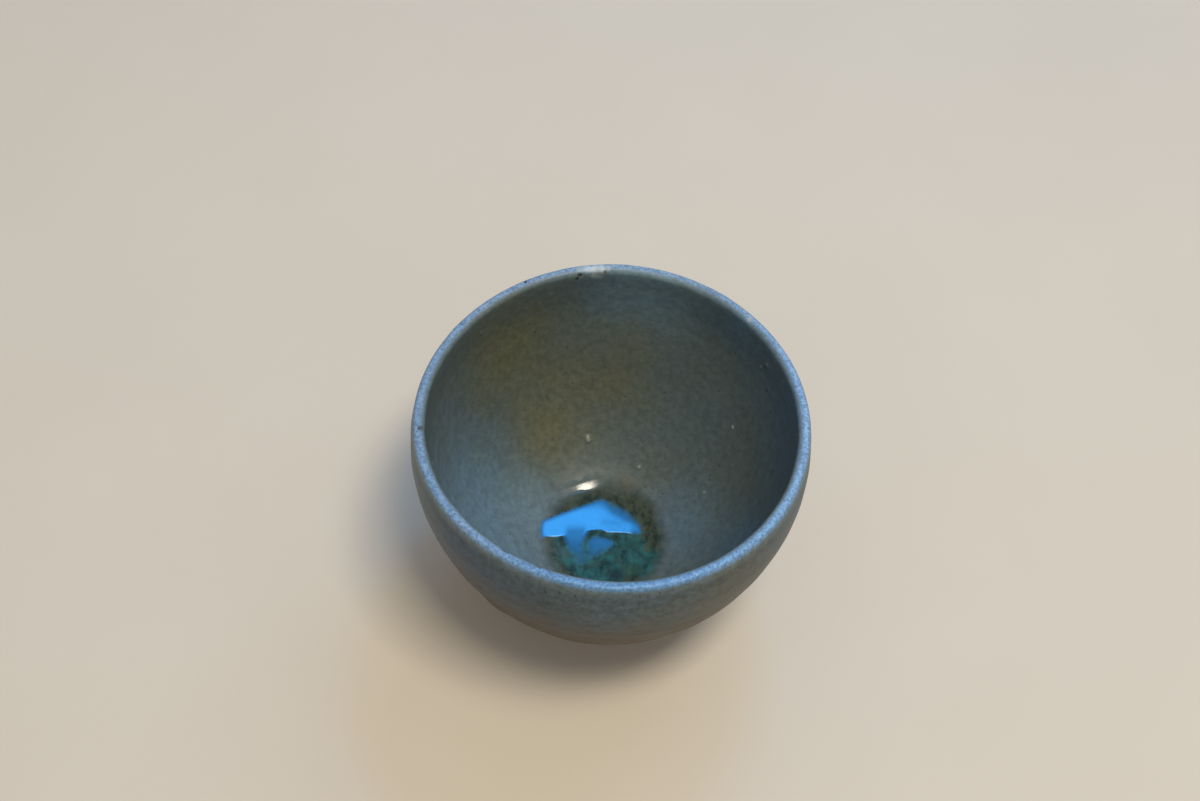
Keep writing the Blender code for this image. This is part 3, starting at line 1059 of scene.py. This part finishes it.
# Sizes in the moss and the glass, and the gloss of the glass
MOSS_SIZE = 1.8 * MM
MOSS_STRETCH = (1.0, 0.7, 1.0)
TEAL_SIZE = 2.4 * MM
EARTH_SIZE = 1.9 * MM
CRACK_SIZE = 2.1 * MM
GLASS_BUMP = 0.0015 * MM
GLASS_BUMP_SIZE = 1.2 * MM
GLASS_IOR = 1.52
GLASS_SPECULAR = 0.36
COAT_ROUGHNESS = 0.05


def glass():
    """Dark teal glass over moss green and brown, thinning out into the glaze at its edge."""
    s = Shader("pool_glass")
    rim, _ = glaze_colour(s, 0.0)

    stretched = s.node("ShaderNodeVectorMath", {"operation": "MULTIPLY"})
    s.put(stretched.inputs[0], s.place)
    stretched.inputs[1].default_value = MOSS_STRETCH
    moss = s.noise(MOSS_SIZE, 4, 0.6, 0.3, stretched.outputs[0])
    light = s.ramp(moss, 0.36, 0.64)
    colour = s.mix(light, MOSS_DARK, MOSS_LIGHT)
    teal = s.noise(TEAL_SIZE, 3, 0.6, 0.3)
    colour = s.mix(s.ramp(teal, 0.48, 0.72, 0.0, 0.6), colour, TEAL)
    earth = s.noise(EARTH_SIZE, 4, 0.6, 0.3)
    colour = s.mix(s.ramp(earth, 0.48, 0.66, 0.0, 0.85), colour, EARTH)
    grown = s.ramp(moss, 0.30, 0.60, 0.5, 1.0)
    for place, full, reach, tint in POOL_COLOURS:
        share = s.math("MULTIPLY", s.near(place, full, reach, 1.0, 1.5), grown)
        colour = s.mix(share, colour, tint)
    cells = s.node(
        "ShaderNodeTexVoronoi", {"feature": "DISTANCE_TO_EDGE"}, Vector=s.place, Scale=1 / CRACK_SIZE
    ).outputs["Distance"]
    colour = s.mix(s.ramp(cells, 0.0, 0.06, 0.30, 0.0), colour, CRACK)

    ring = s.mix(light, RING_DARK, RING_LIGHT)
    flecks = s.math("MULTIPLY", s.ramp(earth, 0.55, 0.66), s.near(*RUST_PLACE))
    ring = s.mix(s.math("MULTIPLY", flecks, 0.7), ring, RUST)
    mossy = s.math("MAXIMUM", *(s.near(*place) for place in MOSS_PLACES))
    colour = s.mix(mossy, ring, colour)
    deep = s.math("MAXIMUM", *(s.near(*place) for place in GLASS_PLACES))
    colour = s.mix(deep, s.tint(rim, RIM_TINT), colour)

    edge = s.attribute("edge")
    skin = s.attribute("skin")
    film = s.attribute("film")
    # Under the skin the moss is painted darker and bluer, as part of the window's reflection
    dark = s.ramp(skin, 0.04, 0.42)
    colour = s.mix(dark, colour, s.tint(colour, SKIN_REFLECTION_TINT))
    # A painted highlight line along the skin's lower edge
    line = s.math("MULTIPLY", edge, s.ramp(moss, 0.35, 0.65, 0.25, 0.75))
    s.put(s.surface.inputs["Base Color"], s.mix(line, colour, SKIN_HIGHLIGHT_LINE))
    mirror = s.math("MAXIMUM", skin, s.ramp(film, 0.36, 0.95, 0.0, 0.34))
    s.put(s.surface.inputs["Coat Weight"], mirror)
    s.surface.inputs["Coat Roughness"].default_value = COAT_ROUGHNESS
    s.surface.inputs["Coat IOR"].default_value = GLASS_IOR
    rough = s.math("MULTIPLY_ADD", dark, 0.25, s.ramp(film, 0.0, 1.0, 0.75, 0.05))
    s.put(s.surface.inputs["Roughness"], rough)
    s.surface.inputs["IOR"].default_value = GLASS_IOR
    s.surface.inputs["Specular IOR Level"].default_value = GLASS_SPECULAR
    s.bump(s.noise(GLASS_BUMP_SIZE), GLASS_BUMP)
    return s.material


# Bare clay: its light and dark colours, those of iron and grog in it, and the sizes of both and of its grain
STONEWARE = ((0.30, 0.22, 0.15), (0.19, 0.14, 0.10))
FOOT_CLAY = ((0.33, 0.24, 0.16), (0.20, 0.145, 0.10))
IRON_COLOUR = (0.05, 0.035, 0.025)
GROG_COLOUR = (0.42, 0.35, 0.27)
IRON_SPECKS = (1.5 * MM, 0.30 * MM, 0.5)
GROG_SPECKS = (2.1 * MM, 0.38 * MM, 0.4)
CLAY_SIZE = 2.4 * MM
CLAY_GRAIN = 0.35 * MM
CLAY_BUMP = 0.06 * MM


def bare_clay(name, light, dark):
    """Coarse fired clay with grog and iron specks."""
    s = Shader(name)
    body = s.noise(CLAY_SIZE, 5, 0.7)
    colour = s.mix(s.ramp(body, 0.3, 0.7), dark, light)
    iron = s.specks(*IRON_SPECKS)
    colour = s.mix(s.math("MULTIPLY", iron, 0.7), colour, IRON_COLOUR)
    grog = s.specks(*GROG_SPECKS)
    colour = s.mix(s.math("MULTIPLY", grog, 0.5), colour, GROG_COLOUR)
    s.put(s.surface.inputs["Base Color"], colour)
    s.put(s.surface.inputs["Roughness"], s.ramp(body, 0.2, 0.8, 0.78, 0.92))
    s.bump(s.math("ADD", body, s.noise(CLAY_GRAIN, 2)), CLAY_BUMP)
    return s.material


def dress(piece, node, material):
    """A piece takes the place of a solid, and moves with it."""
    piece.data.materials.append(material)
    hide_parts(node)
    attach(piece, "root")


dress(clay(), "clay_body", bare_clay("stoneware", *STONEWARE))
dress(foot(), "foot_ring", bare_clay("foot_clay", *FOOT_CLAY))
dress(outer_coat(), "outer_glaze", glaze("outer_glaze_coat", 1.0, OUTER_GLOSS))
dress(inner_coat(), "inner_glaze", glaze("inner_glaze_coat", 0.0, INNER_GLOSS))
dress(lip_coat(), "lip_glaze", glaze("lip_glaze_coat", None, LIP_GLOSS))
dress(glass_pool(), "glass_pool", glass())


# The floor's width, its two tones and how large they are
FLOOR_SIZE = 6.0
FLOOR_DARK = (0.74, 0.65, 0.53)
FLOOR_LIGHT = (0.78, 0.69, 0.57)
FLOOR_TONES = 50 * MM


def floor():
    """A plain pale floor."""
    s = Shader("floor_paint")
    tone = s.noise(FLOOR_TONES, 3)
    s.put(s.surface.inputs["Base Color"], s.mix(tone, FLOOR_DARK, FLOOR_LIGHT))
    s.surface.inputs["Roughness"].default_value = 0.9
    s.surface.inputs["Specular IOR Level"].default_value = 0.1
    half = FLOOR_SIZE / 2
    corners = [(-half, -half, 0), (half, -half, 0), (half, half, 0), (-half, half, 0)]
    mesh = bpy.data.meshes.new("floor")
    mesh.from_pydata(corners, [], [(0, 1, 2, 3)])
    piece = bpy.data.objects.new("floor", mesh)
    mesh.materials.append(s.material)
    bpy.context.scene.collection.objects.link(piece)


def lamp(name, place, aim, size, radiance):
    """A rectangular lamp with the same radiance all over it."""
    data = bpy.data.lights.new(name, "AREA")
    data.shape = "RECTANGLE"
    data.size, data.size_y = size
    peak = max(radiance)
    data.color = [value / peak for value in radiance]
    data.energy = peak * math.pi * size[0] * size[1]
    piece = bpy.data.objects.new(name, data)
    piece.location = place
    piece.rotation_euler = (Vector(aim) - Vector(place)).to_track_quat("-Z", "Y").to_euler()
    piece.visible_camera = False
    bpy.context.scene.collection.objects.link(piece)


# Middle of the cup and of the well, which the lamps face
HEART = Vector((0, 0, 0.03))
WELL = Vector((0, 0, POOL_LEVEL))

# Lamps: place, size and radiance
KEY_PLACE = HEART + 0.9 * Vector((0.19, -0.20, 0.96))
KEY_SIZE = (0.30, 0.18)
KEY_LIGHT = (26.0, 24.0, 20.0)
WINDOW_AZIMUTH = 15.4
WINDOW_ELEVATION = 63.4
WINDOW_DISTANCE = 0.6
WINDOW_SIZE = (0.10, 0.065)
WINDOW_LIGHT = (0.65, 7.6, 20.3)
SKY_PLACE = (0.30, 0.70, 0.80)
SKY_SIZE = (0.7, 0.6)
SKY_LIGHT = (0.75, 1.2, 1.85)
ROOM_COLOUR = (0.97, 0.98, 1.0)
ROOM_LIGHT = 0.32


def from_well(azimuth, elevation, distance):
    """A point that far from the middle of the well. Azimuth is in degrees from +Y towards +X."""
    a, e = math.radians(azimuth), math.radians(elevation)
    return WELL + distance * Vector((math.sin(a) * math.cos(e), math.cos(a) * math.cos(e), math.sin(e)))


floor()
lamp("key", KEY_PLACE, HEART, KEY_SIZE, KEY_LIGHT)
window_place = from_well(WINDOW_AZIMUTH, WINDOW_ELEVATION, WINDOW_DISTANCE)
lamp("window", window_place, WELL, WINDOW_SIZE, WINDOW_LIGHT)
lamp("sky", SKY_PLACE, HEART, SKY_SIZE, SKY_LIGHT)

world = bpy.data.worlds.new("studio")
world.use_nodes = True
room = world.node_tree.nodes["Background"]
room.inputs["Color"].default_value = (*ROOM_COLOUR, 1)
room.inputs["Strength"].default_value = ROOM_LIGHT
bpy.context.scene.world = world

# The camera as a fit of the lip and outline gives it
LENS = 50.0
SENSOR = 36.0
NEAR_CLIP = 0.01
CAMERA_DISTANCE = 8.664 * LIP_RADIUS
CAMERA_ELEVATION = math.radians(55.61)
AIM = Vector((-0.00302, 0.00336, TOP))
ROLL = math.radians(4.503)

camera = bpy.data.objects.new("camera", bpy.data.cameras.new("camera"))
camera.data.lens = LENS
camera.data.sensor_width = SENSOR
camera.data.sensor_fit = "HORIZONTAL"
camera.data.clip_start = NEAR_CLIP
camera.location = Vector((
    0,
    -CAMERA_DISTANCE * math.cos(CAMERA_ELEVATION),
    TOP + CAMERA_DISTANCE * math.sin(CAMERA_ELEVATION),
))
facing = (AIM - camera.location).to_track_quat("-Z", "Y")
camera.rotation_euler = (facing @ Quaternion((0, 0, 1), ROLL)).to_euler()
bpy.context.scene.collection.objects.link(camera)
bpy.context.scene.camera = camera

bpy.context.scene.view_settings.view_transform = "Standard"
